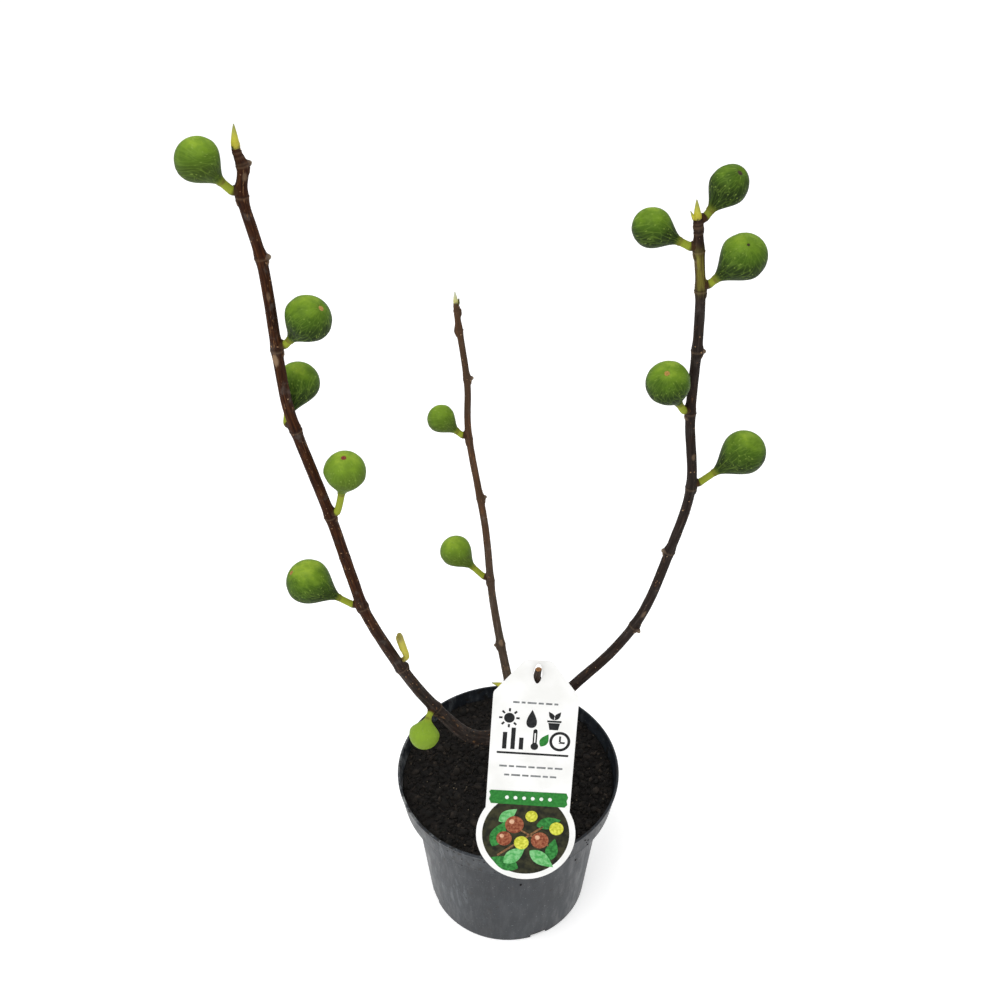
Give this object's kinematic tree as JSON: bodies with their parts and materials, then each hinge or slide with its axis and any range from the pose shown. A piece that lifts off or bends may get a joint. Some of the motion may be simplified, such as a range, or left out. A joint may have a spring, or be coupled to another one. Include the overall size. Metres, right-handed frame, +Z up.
{
  "type": "fig tree in a pot",
  "caption": "Young leafless fig with three fruiting stems, standing in a round plastic nursery pot with a blank hanging tag.",
  "frame": {"origin": "centre of the pot's flat underside, on the surface that the pot stands on", "axes": "+Z up along the stems, -Y towards the side the tag hangs on, +X to the right seen from that side"},
  "size_m": [0.3544, 0.2089, 0.735],
  "materials": {
    "moulded_pot": "moulded grey-blue polypropylene, scuffed and dusty",
    "compost": "dark peat compost with crumbs and bark bits",
    "bark": "smooth red-brown young bark with pale lenticels",
    "fig_skin": "unripe green fig skin with pale specks",
    "bud_scales": "smooth yellow-green bud scales",
    "leaf_stalk": "drying yellow leaf stalk",
    "tag_card": "white plastic card with a satin face"
  },
  "bodies": {
    "root": {"compost": "compost", "cut_leader": "bark", "fig_left_1": "fig_skin", "fig_left_2": "fig_skin", "fig_left_3": "fig_skin", "fig_left_4": "fig_skin", "fig_left_5": "fig_skin", "fig_left_6": "fig_skin", "fig_middle_1": "fig_skin", "fig_middle_2": "fig_skin", "fig_right_1": "fig_skin", "fig_right_2": "fig_skin", "fig_right_3": "fig_skin", "fig_right_4": "fig_skin", "fig_right_5": "fig_skin", "left_bud_1": "bud_scales", "left_bud_2": "bud_scales", "left_stem_lower": "bark", "left_stem_tip_bud": "bud_scales", "left_stem_upper": "bark", "middle_bud_1": "bud_scales", "middle_bud_2": "bud_scales", "middle_bud_3": "bud_scales", "middle_bud_4": "bud_scales", "middle_stem_lower": "bark", "middle_stem_tip_bud": "bud_scales", "middle_stem_upper": "bark", "petiole_stub": "leaf_stalk", "pot": "moulded_pot", "right_bud_1": "bud_scales", "right_bud_2": "bud_scales", "right_bud_3": "bud_scales", "right_stem_lower": "bark", "right_stem_tip_bud": "bud_scales", "right_stem_upper": "bark", "tag": "tag_card", "trunk": "bark"}
  },
  "joints": []
}
